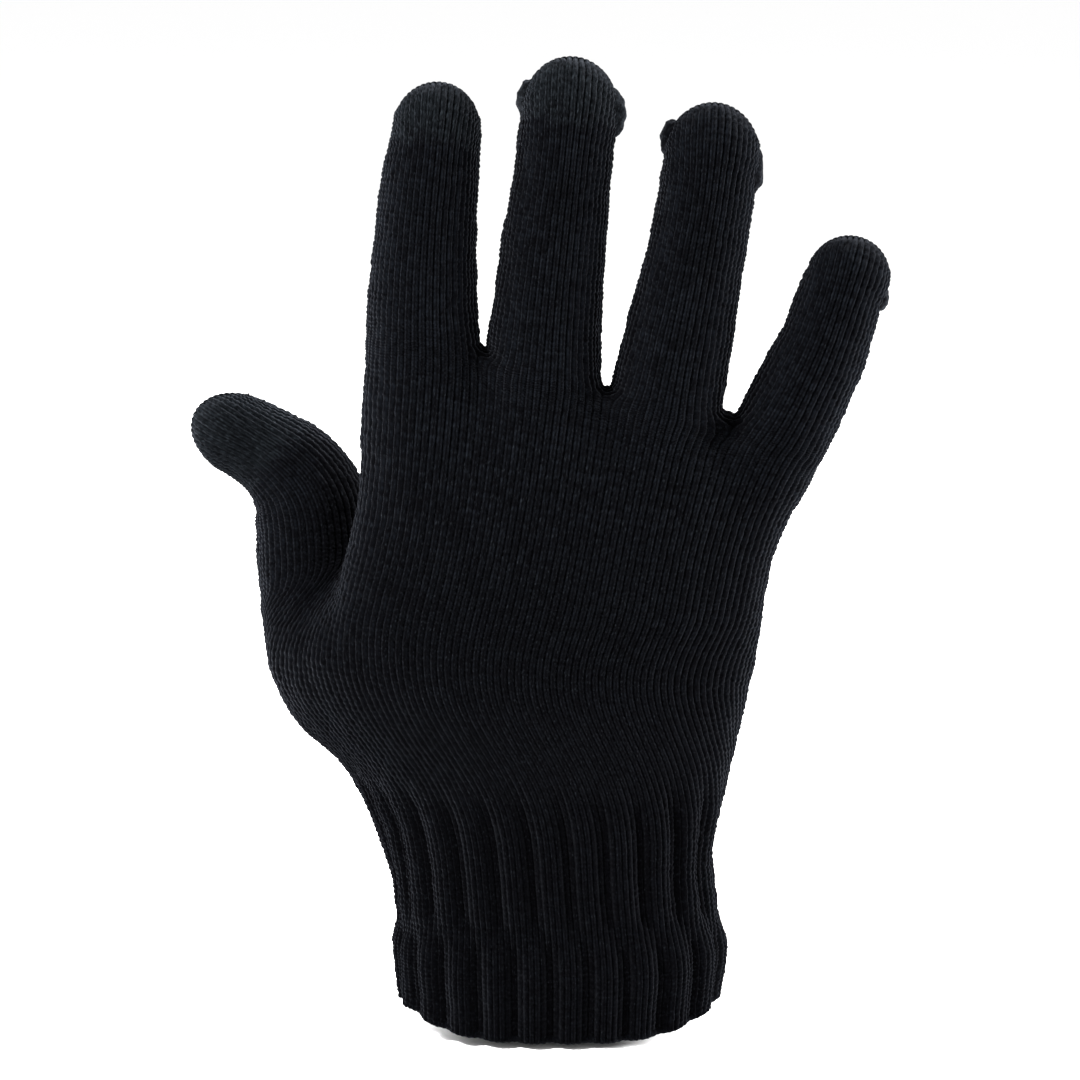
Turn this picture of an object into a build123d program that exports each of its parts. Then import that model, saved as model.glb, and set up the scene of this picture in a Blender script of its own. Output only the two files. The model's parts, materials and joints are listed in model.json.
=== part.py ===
"""A knitted touchscreen glove for the right hand, worn and held up, as it is when filled by a hand.

The frame's origin is the centre of the cuff's mouth. +Z runs from the cuff to the fingertips, +X from the
thumb's side to the little finger's, and +Y from the back of the hand to the palm. Sizes are in millimetres.
"""

from build123d import *
import math
import os
from dataclasses import dataclass

# ---- Fabric ------------------------------------------------------------------------------------------------
KNIT_WALL = 1.8
FINGER_DEPTH_SHARE = 0.87  # a filled finger tube's depth over its width

# ---- Cuff and hand -------------------------------------------------------------------------------------------
WELT_TOP_Z = 5.0
WRIST_Z = 40.0
RIB_TOP_Z = 60.0
WEB_TOP_Z = 148.0  # the webs between the fingers, midway across the hand
HAND_ROUNDING = 2.4  # power of the hand's rounded sections: 2 is an ellipse, and more is squarer
SECTION_POINTS = 24
# (height midway, left edge, right edge, half depth, slope in degrees down towards the little finger)
HAND_SECTIONS = (
    (0.0, -36.5, 36.5, 21.5, 0.0),
    (8.0, -36.8, 36.8, 21.5, 0.0),
    (20.0, -37.2, 37.0, 21.4, 0.0),
    (WRIST_Z, -37.0, 34.5, 20.5, 0.0),
    (RIB_TOP_Z, -42.5, 38.0, 19.0, 0.0),
    (85.0, -45.5, 43.5, 17.5, 0.0),
    (110.0, -46.5, 47.0, 15.5, 4.0),
    (132.0, -44.5, 51.5, 12.0, 9.0),
    (WEB_TOP_Z, -40.0, 46.0, 6.0, 14.0),
)
ELASTIC_RADIUS = 0.45
ELASTIC_COUNT = 6
ELASTIC_FIRST_Z = 8.0
ELASTIC_PITCH = 4.0

# ---- Joints --------------------------------------------------------------------------------------------------
FOLD_GAP = 0.5  # half the fold's length on the hinge line
FOLD_SPARE_DEG = 1.0
REACH = 60.0  # larger than any section
HINGE_PALMWARD = 3.0  # finger hinges lie this much nearer the palm than the tube's centre
WRIST_RANGE = (-35.0, 35.0)
THUMB_BASE_RANGE = (-5.0, 35.0)
THUMB_END_RANGE = (-5.0, 60.0)

# ---- Tips ----------------------------------------------------------------------------------------------------
SEAM_RADIUS = 0.75
EAR_RADIUS = 1.3
YARN_RADIUS = 0.6
TAIL_LENGTH = 11.0  # the yarn's end, left hanging inside a tip
TAIL_SWAY = 2.5
TAIL_DEPTH = 1.4  # below the top of the dome, so the yarn's end sits in the wall under the seam


@dataclass
class Station:
    """One section of a digit: its centre and its half width."""

    x: float
    y: float
    z: float
    half: float


@dataclass
class Digit:
    """root holds the stations inside the hand; joints the hinge stations; then the dome's start and the tip."""

    name: str
    root: tuple
    joints: tuple
    dome: Station
    tip: tuple
    ranges: tuple
    touch_from: float  # distance of the conductive yarn's first course from the last hinge, or 0 without it
    eared: bool  # the closing seam ends in small ears that stand out of the tip


DIGITS = (
    Digit(
        name="index",
        root=(Station(-29.0, 0, 118, 12.6), Station(-30.2, 0, 140, 13.8)),
        joints=(Station(-30.6, 0, 157.5, 12.8), Station(-30.1, 0.4, 176, 11.8), Station(-28.6, 1.6, 193.5, 10.8)),
        dome=Station(-27.6, 3.0, 203.5, 9.9),
        tip=(-26.9, 4.6, 214.4),
        ranges=((-15.0, 60.0), (0.0, 80.0), (0.0, 48.0)),
        touch_from=5.5,
        eared=False,
    ),
    Digit(
        name="middle",
        root=(Station(-7.0, 0, 118, 13.4), Station(-4.6, 0, 140, 14.2)),
        joints=(Station(-3.5, 0, 157, 13.0), Station(-1.5, 0.4, 177, 11.9), Station(1.0, 1.6, 197.5, 10.9)),
        dome=Station(2.2, 2.8, 208, 10.8),
        tip=(2.9, 4.4, 220.0),
        ranges=((-15.0, 60.0), (0.0, 80.0), (0.0, 48.0)),
        touch_from=6.5,
        eared=True,
    ),
    Digit(
        name="ring",
        root=(Station(18.0, 0, 115, 12.6), Station(22.4, 0, 137, 13.4)),
        joints=(Station(25.3, 0, 152, 12.8), Station(29.1, 0.4, 170.5, 11.5), Station(32.4, 1.6, 189, 10.7)),
        dome=Station(33.7, 2.6, 198, 10.8),
        tip=(34.3, 4.0, 209.8),
        ranges=((-15.0, 60.0), (0.0, 80.0), (0.0, 48.0)),
        touch_from=0.0,
        eared=True,
    ),
    Digit(
        name="little",
        root=(Station(36.0, 0, 108, 9.0), Station(46.3, 0, 129.5, 11.2)),
        joints=(Station(53.2, 0, 143.5, 11.0), Station(58.9, 0.3, 156, 10.1), Station(62.8, 1.2, 167.6, 9.4)),
        dome=Station(64.3, 1.8, 172.2, 9.2),
        tip=(66.6, 2.9, 180.0),
        ranges=((-15.0, 55.0), (0.0, 65.0), (0.0, 39.0)),
        touch_from=0.0,
        eared=False,
    ),
)

THUMB = Digit(
    name="thumb",
    root=(
        Station(-30.0, 3.0, 46.0, 8.0),
        Station(-38.5, 6.0, 62.0, 11.2),
        Station(-47.5, 11.0, 79.0, 13.8),
    ),
    joints=(Station(-54.8, 17.3, 102.5, 12.9), Station(-57.6, 20.5, 122.0, 12.3)),
    dome=Station(-71.0, 20.5, 134.8, 10.3),
    tip=(-82.3, 20.0, 140.5),
    ranges=(THUMB_BASE_RANGE, THUMB_END_RANGE),
    touch_from=9.0,
    eared=False,
)


# ---- Frames along a digit ------------------------------------------------------------------------------------
def stations_of(digit):
    """Every station up to the dome's start."""
    return [*digit.root, *digit.joints, digit.dome]


def centre(station):
    return Vector(station.x, station.y, station.z)


def frame_at(point, along):
    """A plane across a digit: its x axis runs across the hand, its y axis towards the palm, its z axis along."""
    across = Vector(0, 1, 0).cross(along).normalized()
    return Plane(origin=point, x_dir=across, z_dir=along)


def digit_frames(digit):
    """(plane, half width) at each station, with the plane square to the line through its neighbours."""
    points = [*map(centre, stations_of(digit)), Vector(*digit.tip)]
    frames = []
    for i, station in enumerate(stations_of(digit)):
        before = points[max(i - 1, 0)]
        along = (points[i + 1] - before).normalized()
        if station is digit.dome:
            along = (points[i + 1] - points[i]).normalized()
        frames.append((frame_at(points[i], along), station.half))
    return frames


def joint_frame(digit, index):
    return digit_frames(digit)[len(digit.root) + index][0]


# ---- Tubes ---------------------------------------------------------------------------------------------------
def ellipse_on(plane, half_width, half_depth):
    return plane * Ellipse(half_width, half_depth)


def digit_solid(digit, inset=0.0):
    """The filled digit, or its inside when inset is the wall: a tube with half an ellipsoid for its tip."""
    frames = digit_frames(digit)
    tube = loft([ellipse_on(plane, half - inset, half * FINGER_DEPTH_SHARE - inset) for plane, half in frames])
    plane, half = frames[-1]
    height = (Vector(*digit.tip) - plane.origin).length
    sizes = (half - inset, half * FINGER_DEPTH_SHARE - inset, height - inset)
    dome = Sphere(1, arc_size1=0, align=(Align.CENTER, Align.CENTER, Align.MIN))
    return tube + plane * scale(dome, by=sizes)


def rounded_outline(plane, half_width, half_depth):
    """The outline of a hand section: an ellipse drawn a little squarer."""
    points = []
    for i in range(SECTION_POINTS):
        turn = 2 * math.pi * i / SECTION_POINTS
        c, s = math.cos(turn), math.sin(turn)
        x = math.copysign(abs(c) ** (2 / HAND_ROUNDING), c) * half_width
        y = math.copysign(abs(s) ** (2 / HAND_ROUNDING), s) * half_depth
        points.append((x, y))
    return plane * Spline(*points, periodic=True)


def hand_solid(inset=0.0):
    """The filled cuff and hand, or their inside when inset is the wall. The inside is open at the mouth."""
    sections = []
    for height, left, right, half_depth, slope in HAND_SECTIONS:
        tilt = math.radians(slope)
        if height == WEB_TOP_Z:
            height -= inset
        if height == 0:
            height -= inset
        plane = Plane(
            origin=((left + right) / 2, 0, height),
            x_dir=(math.cos(tilt), 0, -math.sin(tilt)),
            z_dir=(math.sin(tilt), 0, math.cos(tilt)),
        )
        half_width = (right - left) / 2 / math.cos(tilt)
        sections.append(make_face(rounded_outline(plane, half_width - inset, half_depth - inset)))
    return loft(sections)


# ---- Folds ---------------------------------------------------------------------------------------------------
def fold_wedge(plane, inner_deg, outer_deg, bend_x=False):
    """The space that a joint's fold fills: a bow tie in the plane of the bend, thicker on the inner side.

    The bend is towards the plane's +y, or towards its +x with bend_x.
    """
    inner = FOLD_GAP + REACH * math.tan(math.radians(inner_deg))
    outer = FOLD_GAP + REACH * math.tan(math.radians(outer_deg))
    side = plane.x_dir if bend_x else plane.y_dir
    profile_plane = Plane(plane.origin, x_dir=side, z_dir=side.cross(plane.z_dir))
    profile = Polygon(
        (0, FOLD_GAP), (-REACH, outer), (-REACH, -outer), (0, -FOLD_GAP), (REACH, -inner), (REACH, inner), align=None
    )
    return extrude(profile_plane * profile, amount=REACH, both=True)


def fold_angles(limits):
    """Half of each limit, with some to spare, for the inner and the outer side of a bend."""
    low, high = limits
    return high / 2 + FOLD_SPARE_DEG, -low / 2 + FOLD_SPARE_DEG


def hinge_plane(digit, index):
    """The plane across a digit with its origin on the hinge line."""
    plane = joint_frame(digit, index)
    if digit is THUMB:
        return plane
    return plane.shift_origin(plane.origin + plane.y_dir * HINGE_PALMWARD)


def bends_sideways(digit, index):
    """The thumb's end joint bends across the hand, and every other joint towards the palm."""
    return digit is THUMB and index == 1


def digit_wedges(digit):
    return [
        fold_wedge(hinge_plane(digit, i), *fold_angles(digit.ranges[i]), bend_x=bends_sideways(digit, i))
        for i in range(len(digit.joints))
    ]


def along_digit(digit, shape):
    """Where a piece lies along its digit: the number of hinge planes that its centre has passed."""
    at = shape.center(CenterOf.BOUNDING_BOX)
    return sum((at - hinge_plane(digit, i).origin).dot(hinge_plane(digit, i).z_dir) > 0 for i in range(len(digit.joints)))


def keep_part(digit, shape, passed):
    """The solids of a cut digit that have passed that number of hinges."""
    kept = [s for s in shape.solids() if along_digit(digit, s) == passed]
    return kept[0] if len(kept) == 1 else Compound(children=kept)


# ---- Tips ----------------------------------------------------------------------------------------------------
def dome_frame(digit):
    """(plane, half width, height) of a digit's dome."""
    plane, half = digit_frames(digit)[-1]
    return plane, half, (Vector(*digit.tip) - plane.origin).length


def tip_seam(digit):
    """The linked seam that closes a digit: a half round over the dome, from side to side."""
    plane, half, height = dome_frame(digit)
    profile_plane = Plane(plane.origin, x_dir=plane.x_dir, z_dir=-plane.y_dir)
    arch = Edge.make_ellipse(half, height, plane=profile_plane, start_angle=0, end_angle=180)
    seam = sweep(Plane(arch @ 0, z_dir=arch % 0) * Circle(SEAM_RADIUS), path=arch)
    if digit.eared:
        for end in (arch @ 0, arch @ 1):
            seam += Pos(*end) * Sphere(EAR_RADIUS)
    return seam


def yarn_tail(digit):
    """The yarn's end, darned into the tip's wall and left hanging inside it."""
    plane, _, height = dome_frame(digit)
    top = plane.origin + plane.z_dir * (height - TAIL_DEPTH)
    knee = top - plane.z_dir * TAIL_LENGTH / 2 + plane.x_dir * TAIL_SWAY
    end = top - plane.z_dir * TAIL_LENGTH - plane.x_dir * TAIL_SWAY
    path = Spline(top, knee, end)
    return sweep(Plane(path @ 0, z_dir=path % 0) * Circle(YARN_RADIUS), path=path)


# ---- Assembly ------------------------------------------------------------------------------------------------
def digit_nodes(digit):
    """Every node of one digit, by name."""
    wedges = digit_wedges(digit)
    shell = digit_solid(digit) - digit_solid(digit, KNIT_WALL)
    apart = shell
    for wedge in wedges:
        apart = apart - wedge
    last = len(wedges)
    steps = ["base", "middle", "end"] if last == 3 else ["base", "end"]
    nodes = {}
    for i, wedge in enumerate(wedges):
        nodes[f"{digit.name}_{steps[i]}_fold"] = shell & wedge
        nodes[f"{digit.name}_{steps[i]}_sleeve"] = keep_part(digit, apart, i + 1)
    seam = tip_seam(digit)
    end_sleeve = nodes.pop(f"{digit.name}_end_sleeve")
    end_sleeve = end_sleeve - seam
    if digit.touch_from:
        cut = joint_frame(digit, last - 1).offset(digit.touch_from)
        nodes[f"{digit.name}_end_sleeve"] = split(end_sleeve, bisect_by=cut, keep=Keep.BOTTOM)
        nodes[f"{digit.name}_touch_tip"] = split(end_sleeve, bisect_by=cut, keep=Keep.TOP)
    else:
        nodes[f"{digit.name}_end_cap"] = end_sleeve
    nodes[f"{digit.name}_tip_seam"] = seam
    nodes[f"{digit.name}_yarn_tail"] = yarn_tail(digit)
    return nodes


def slab(low, high):
    """All the space between two heights."""
    return Pos(0, 0, (low + high) / 2) * Box(4 * REACH, 4 * REACH, high - low)


def hand_shell():
    """The cuff, the hand and the root of every digit, up to the fold at each digit's base."""
    digits = (*DIGITS, THUMB)
    outside = hand_solid()
    inside = hand_solid(KNIT_WALL)
    beyond = []
    for digit in digits:
        solid = digit_solid(digit)
        root = keep_part(digit, solid - digit_wedges(digit)[0], 0)
        outside += root
        beyond.append(solid - root)
        inside += digit_solid(digit, KNIT_WALL)
    for part in beyond:
        outside -= part
    return outside - inside


def wrist_plane():
    row = next(r for r in HAND_SECTIONS if r[0] == WRIST_Z)
    return Plane(origin=((row[1] + row[2]) / 2, 0, WRIST_Z), x_dir=(1, 0, 0), z_dir=(0, 0, 1))


def sizes_at(z):
    """(middle, half width, half depth) of the cuff at a height, between two of its sections."""
    low, high = next(pair for pair in zip(HAND_SECTIONS, HAND_SECTIONS[1:]) if pair[0][0] <= z <= pair[1][0])
    share = (z - low[0]) / (high[0] - low[0])
    left, right, half_depth = (a + share * (b - a) for a, b in zip(low[1:4], high[1:4]))
    return (left + right) / 2, (right - left) / 2, half_depth


def elastic_threads():
    """Rings of elastic yarn knitted into the inner face of the cuff's rib, half sunk in it."""
    rings = []
    for i in range(ELASTIC_COUNT):
        z = ELASTIC_FIRST_Z + i * ELASTIC_PITCH
        middle, half_width, half_depth = sizes_at(z)
        plane = Plane(origin=(middle, 0, z), x_dir=(1, 0, 0), z_dir=(0, 0, 1))
        path = rounded_outline(plane, half_width - KNIT_WALL, half_depth - KNIT_WALL)
        rings.append(sweep(Plane(path @ 0, z_dir=path % 0) * Circle(ELASTIC_RADIUS), path=path))
    return Compound(children=rings)


def cuff_and_hand_nodes():
    whole = hand_shell()
    fold = fold_wedge(wrist_plane(), *fold_angles(WRIST_RANGE))
    return {
        "cuff_welt": whole & slab(-KNIT_WALL, WELT_TOP_Z),
        "cuff_rib": (whole & slab(WELT_TOP_Z, WRIST_Z)) - fold,
        "cuff_elastic_threads": elastic_threads(),
        "wrist_rib_fold": whole & fold,
        "wrist_rib": (whole & slab(WRIST_Z, RIB_TOP_Z)) - fold,
        "hand_tube": whole & slab(RIB_TOP_Z, WEB_TOP_Z + REACH),
    }


def all_nodes():
    nodes = cuff_and_hand_nodes()
    for digit in (*DIGITS, THUMB):
        nodes.update(digit_nodes(digit))
    return nodes


def main():
    os.makedirs("parts", exist_ok=True)
    for name, shape in all_nodes().items():
        export_step(shape, f"parts/{name}.step")


if __name__ == "__main__":
    main()
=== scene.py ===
"""A knitted touchscreen glove for the right hand, worn and held up, on a plain pale floor.

The knitting is laid out stitch by stitch: a quad for each stitch, course by course and wale by wale, from the
cuff's mouth to the seam over each tip. The quads are settled onto a smooth hand shape, subdivided, and raised
into stockinette and rib. Lengths are in millimetres up to the moment a mesh is made.
"""

import json
import math

import bpy
import numpy as np
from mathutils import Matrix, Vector


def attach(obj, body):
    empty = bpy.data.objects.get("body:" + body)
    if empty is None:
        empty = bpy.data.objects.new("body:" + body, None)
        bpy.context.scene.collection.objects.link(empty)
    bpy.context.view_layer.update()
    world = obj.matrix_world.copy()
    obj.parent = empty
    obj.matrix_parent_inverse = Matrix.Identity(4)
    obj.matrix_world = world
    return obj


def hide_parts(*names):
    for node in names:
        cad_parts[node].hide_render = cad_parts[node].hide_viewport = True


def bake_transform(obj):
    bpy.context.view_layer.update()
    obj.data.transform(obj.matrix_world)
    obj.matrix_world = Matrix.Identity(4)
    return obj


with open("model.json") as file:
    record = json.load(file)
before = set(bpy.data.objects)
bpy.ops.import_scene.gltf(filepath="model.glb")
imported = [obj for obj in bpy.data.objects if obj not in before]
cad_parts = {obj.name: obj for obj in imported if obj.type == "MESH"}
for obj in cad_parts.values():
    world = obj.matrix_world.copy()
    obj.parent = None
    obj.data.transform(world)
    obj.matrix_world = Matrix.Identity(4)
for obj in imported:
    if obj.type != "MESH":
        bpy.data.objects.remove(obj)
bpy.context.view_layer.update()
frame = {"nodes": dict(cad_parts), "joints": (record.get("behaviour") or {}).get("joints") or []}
MM = 0.001

# ---- Sizes ---------------------------------------------------------------------------------------
WEB_SLOPE = 16.5  # degrees that the line of the fingers' webs falls towards the little finger
DEPTH_SHARE = 0.87  # a filled finger tube's depth over its width
HINGE_PALMWARD = 3.0  # the finger hinges lie this much nearer the palm than the tube's centre
THUMB_SHIFT = (0.9, 0.0, 1.6)  # from the thumb's centre to its hinges
SINK = 0.25  # the smooth surface lies this far below the stitches' mean height
HAND_POWER = 2.4  # rounded sections: 2 is an ellipse
# (height midway, left edge, right edge, half depth, slope in degrees down towards the little finger)
HAND_ROWS = np.array(
    [
        (-6.0, -36.0, 36.0, 21.3, 0.0),
        (0.0, -36.4, 36.4, 21.4, 0.0),
        (8.0, -36.9, 36.9, 21.6, 0.0),
        (16.0, -37.2, 37.4, 21.7, 0.0),
        (24.0, -37.2, 36.6, 21.3, 0.0),
        (32.0, -36.9, 34.9, 20.8, 0.0),
        (40.0, -37.2, 34.3, 20.5, 0.0),
        (50.0, -39.0, 36.2, 19.8, 0.0),
        (60.0, -42.4, 38.9, 19.0, 0.0),
        (74.0, -48.5, 41.8, 18.2, 0.0),
        (87.0, -53.5, 44.6, 17.4, 0.5),
        (99.0, -50.0, 46.0, 16.4, 2.0),
        (112.0, -46.2, 47.8, 15.3, 4.5),
        (132.0, -43.6, 51.0, 12.0, 9.0),
        (148.0, -40.0, 46.0, 6.0, WEB_SLOPE),
        (156.0, -40.0, 46.0, 4.0, WEB_SLOPE),
    ]
)
WEB_TOP = 146.5
WEB_ROUND = 3.0
WEB_DROP = 0.0015  # the webs fall away faster towards the little finger
HAND_MID_X = 3.0
CORE = (-8.0, 4.0)  # x and y well inside the hand at every height up to the thumb's web

# Each digit's stations are (x, y, z, half width): its root, then its hinges with only their half widths given
# here, then any beyond them up to the dome. The tip is a point.
DIGITS = {
    "index": dict(
        root=((-29.0, 0, 118, 12.6), (-30.2, 0, 140, 13.5)),
        halves=(12.7, 11.7, 10.7),
        dome=(-27.4, 3.0, 202.6, 9.9),
        tip=(-26.8, 4.6, 213.4),
        parts=("base", "middle", "end"),
    ),
    "middle": dict(
        root=((-7.0, 0, 118, 13.0), (-4.6, 0, 140, 13.8)),
        halves=(12.8, 11.8, 10.9),
        dome=(2.1, 2.8, 206.8, 10.9),
        tip=(2.7, 4.4, 219.0),
        parts=("base", "middle", "end"),
    ),
    "ring": dict(
        root=((18.0, 0, 115, 12.2), (22.4, 0, 137, 13.0)),
        halves=(12.6, 11.4, 10.8),
        dome=(33.6, 2.6, 196.8, 10.8),
        tip=(34.2, 4.0, 208.9),
        parts=("base", "middle", "end"),
    ),
    "little": dict(
        root=((36.0, 0, 108, 9.0), (46.3, 0, 129.5, 11.0)),
        halves=(11.0, 10.2, 9.5),
        dome=(64.3, 1.8, 170.9, 9.1),
        tip=(66.4, 2.9, 179.2),
        parts=("base", "middle", "end"),
    ),
    "thumb": dict(
        root=((-30.0, 3.0, 46.0, 8.0), (-37.3, 5.0, 62.0, 10.8), (-50.0, 8.0, 80.0, 15.0)),
        halves=(13.3, 12.6),
        bend=((-61.4, 20.5, 124.2, 11.7), (-66.6, 20.5, 128.5, 10.3)),
        dome=(-71.9, 20.5, 131.7, 9.5),
        tip=(-83.3, 20.0, 137.0),
        parts=("base", "end"),
    ),
}

# ---- Knitting ------------------------------------------------------------------------------------
WALES = 132  # round the four-finger hand
WEB = 8  # stitches across each web between digits
FRONT = {"index": 19, "middle": 16, "ring": 15, "little": 16}  # wales of the hand's back that run into each
EDGE = 3  # the wale on the radial edge, counted from the thumb's web
COURSE = 1.25
SEAM_START = 0.06  # a seam starts and ends this share of the way up the dome's sides
DOME_ROUND = 4.0  # the courses start to close this far below the dome
DOME_SHARE = 0.62  # courses up the dome, as a share of its height
LOW_ROWS = 76  # courses below the thumb's web
HIGH_ROWS = 44  # courses from there to the fingers' webs
THUMB_WEB_Z = 93.0
THUMB_WALES = 46
PART_FROM_Z = 42.0  # from here up, the thumb's wales make for the thumb
PART_RUN = 9.0  # height over which the rings part into the hand's and the thumb's
CUFF_THUMB_WALE = 0.5  # width at the cuff of the thumb's wales over that of the others
RIBS = 26
GROOVE_X = 1.6  # one groove of the rib runs here on the back of the wrist
RIB_TOP = 58.0
CUFF_ROWS = 22  # courses that stay with the cuff
WRIST_ROWS = 45  # courses up to where the hand's part starts
WALL = 1.7
MOUTH_RISE, SIDE_RISE = 1.0, 6.4  # how far the mouth is lifted everywhere, and more at its sides
MOUTH_HALF = 37.0
RISE_TOP = 26.0
SETTLE = 60


def smoothstep(a, b, x):
    t = np.clip((x - a) / (b - a), 0, 1)
    return t * t * (3 - 2 * t)


def hermite(knots, values, at):
    """A smooth curve through values at knots, read at the given places."""
    knots, values = np.asarray(knots, float), np.asarray(values, float)
    slope = np.gradient(values, knots, axis=0)
    k = np.clip(np.searchsorted(knots, at, side="right") - 1, 0, len(knots) - 2)
    h = knots[k + 1] - knots[k]
    t = ((at - knots[k]) / h)[:, None]
    h = h[:, None]
    a, b, ma, mb = values[k], values[k + 1], slope[k] * h, slope[k + 1] * h
    leaving = a * (1 + 2 * t) * (1 - t) ** 2 + ma * t * (1 - t) ** 2
    return leaving + b * t * t * (3 - 2 * t) + mb * t * t * (t - 1)


def unit(v):
    return v / np.linalg.norm(v, axis=-1, keepdims=True)


def run_of(path):
    """How far along a path each of its points lies."""
    return np.r_[0, np.cumsum(np.linalg.norm(np.diff(path, axis=0), axis=1))]


def read_path(at, knots, path):
    """Points of a path at the given places among its knots."""
    return np.stack([np.interp(at, knots, path[:, i]) for i in range(3)], 1)


class Tube:
    """A digit's filled shape: a smooth axis with elliptical sections and a rounded tip."""

    def __init__(self, name, spec):
        joints = {j["name"]: j for j in frame["joints"]}
        joints = [joints[f"{name}_{part}_bend"] for part in spec["parts"]]
        self.hinges = [np.array(j["pos_m"]) * 1000 for j in joints]
        shift = THUMB_SHIFT if name == "thumb" else (0.0, HINGE_PALMWARD, 0.0)
        rows = [np.array(r, float) for r in spec["root"]]
        rows += [np.array([*(h - shift), w]) for h, w in zip(self.hinges, spec["halves"])]
        rows += [np.array(row, float) for row in (*spec.get("bend", ()), spec["dome"])]
        rows = np.array(rows)
        lengths = run_of(rows[:, :3])
        self.length = lengths[-1]
        self.at = np.linspace(0, self.length, 34)
        fine = hermite(lengths, rows, self.at)
        self.c, self.a = fine[:, :3], fine[:, 3]
        self.b = self.a * DEPTH_SHARE
        along = unit(np.gradient(self.c, self.at, axis=0))
        self.tip = np.array(spec["tip"], float)
        along[-1] = unit(self.tip - self.c[-1])
        along[-2] = unit(along[-2] + along[-1] * 0.6)
        self.z = along
        self.x = unit(np.cross((0.0, 1.0, 0.0), along))
        self.y = np.cross(self.z, self.x)
        self.cap = np.linalg.norm(self.tip - self.c[-1])
        self.joint_at = lengths[len(spec["root"]) :][: len(joints)]

    def frame_at(self, s):
        """(centre, across, palmward, along, half width, half depth) at a distance along the axis."""
        s = np.atleast_1d(s)
        x, z = unit(read_path(s, self.at, self.x)), unit(read_path(s, self.at, self.z))
        a, b = np.interp(s, self.at, self.a), np.interp(s, self.at, self.b)
        return read_path(s, self.at, self.c), x, unit(np.cross(z, x)), z, a, b

    def distance(self, p):
        """Roughly the signed distance of points from the surface."""
        c, d = self.c[:-1], np.diff(self.c, axis=0)
        rel = p[:, None, :] - c[None]
        t = np.clip((rel * d).sum(-1) / (d * d).sum(-1), 0, 1)
        gap = rel - t[..., None] * d
        k = (gap * gap).sum(-1).argmin(1)
        rows = np.arange(len(p))
        t, q = t[rows, k][:, None], gap[rows, k]
        mix = lambda v: v[k] * (1 - t) + v[k + 1] * t
        x, y, z = (mix(self.x) * q).sum(1), (mix(self.y) * q).sum(1), (mix(self.z) * q).sum(1)
        a = mix(self.a[:, None])[:, 0]
        b = mix(self.b[:, None])[:, 0]
        last = (k == len(c) - 1) & (t[:, 0] > 0.999)
        first = (k == 0) & (t[:, 0] < 0.001)
        h = np.where(last, self.cap, a)
        z = np.where(last | first, z, 0)
        e = np.sqrt((x / a) ** 2 + (y / b) ** 2 + (z / h) ** 2) + 1e-9
        g = np.sqrt((x / a**2) ** 2 + (y / b**2) ** 2 + (z / h**2) ** 2) + 1e-9
        return (e - 1) * e / g


HAND_AT = np.linspace(HAND_ROWS[0, 0], HAND_ROWS[-1, 0], 160)
HAND_FINE = hermite(HAND_ROWS[:, 0], HAND_ROWS[:, 1:], HAND_AT)


def hand_row(w):
    return [np.interp(w, HAND_AT, HAND_FINE[:, i]) for i in range(4)]


def hand_level(p):
    """The height midway of the sloping section that each point lies on."""
    w = p[:, 2].copy()
    for _ in range(4):
        w = p[:, 2] + np.tan(np.radians(hand_row(w)[3])) * (p[:, 0] - HAND_MID_X)
    return w


def hand_distance(p):
    w = hand_level(p)
    left, right, b, _ = hand_row(w)
    a, cx = (right - left) / 2, (left + right) / 2
    x, y = np.abs(p[:, 0] - cx) / a + 1e-6, np.abs(p[:, 1]) / b + 1e-6
    n = HAND_POWER
    e = (x**n + y**n) ** (1 / n)
    g = e ** (1 - n) * np.hypot(x ** (n - 1) / a, y ** (n - 1) / b)
    side = (e - 1) / g
    top = w + WEB_DROP * np.maximum(p[:, 0] - 10, 0) ** 2 - WEB_TOP
    return -soft_min(-side, -top, WEB_ROUND)


def soft_min(a, b, r):
    h = np.maximum(r - np.abs(a - b), 0) / r
    return np.minimum(a, b) - h * h * r / 4


TUBES = {name: Tube(name, spec) for name, spec in DIGITS.items()}
FINGERS = ("index", "middle", "ring", "little")
THUMB_BLEND = (12.0, 4.0)  # low on the hand, and above the thumb's web
THUMB_BLEND_Z = (84.0, 106.0)
FINGER_BLEND = 3.0


def shape_distance(p, group):
    """Signed distance from the glove. Group 0 is the hand, and 1 to 5 the digits, each blind to the rest."""
    d = hand_distance(p)
    for i, name in enumerate((*FINGERS, "thumb"), 1):
        wanted = (group == 0) | (group == i)
        blend = FINGER_BLEND
        if name == "thumb":
            low, high = THUMB_BLEND
            blend = low + (high - low) * smoothstep(*THUMB_BLEND_Z, p[wanted, 2])
        part = TUBES[name].distance(p[wanted])
        d[wanted] = soft_min(d[wanted], part, blend)
    return d + SINK


# ---- The stitch grid -----------------------------------------------------------------------------
class Grid:
    """Points and stitches. A stitch is a quad with its wale and course numbers at each corner."""

    def __init__(self):
        self.points, self.group, self.fixed = [], [], []
        self.quads, self.uvs, self.piece = [], [], []

    def add(self, points, group, fixed=False):
        start = sum(map(len, self.points))
        points = np.atleast_2d(points)
        self.points.append(points)
        self.group.append(np.full(len(points), group))
        self.fixed.append(np.full(len(points), fixed))
        return list(range(start, start + len(points)))

    def strip(self, low, high, u, v, piece, closed=True):
        """A course of stitches between two rows of points. piece is a name, or one for each stitch."""
        n = len(low) if closed else len(low) - 1
        for i in range(n):
            j = (i + 1) % len(low)
            self.quads.append((low[i], low[j], high[j], high[i]))
            self.uvs.append(((u + i, v), (u + i + 1, v), (u + i + 1, v + 1), (u + i, v + 1)))
            self.piece.append(piece if isinstance(piece, str) else piece[i])

    def finish(self):
        self.points = np.vstack(self.points)
        self.group, self.fixed = np.concatenate(self.group), np.concatenate(self.fixed)
        self.quads = np.array(self.quads)
        self.uvs = np.array(self.uvs, float)
        self.piece = np.array(self.piece)


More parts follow.
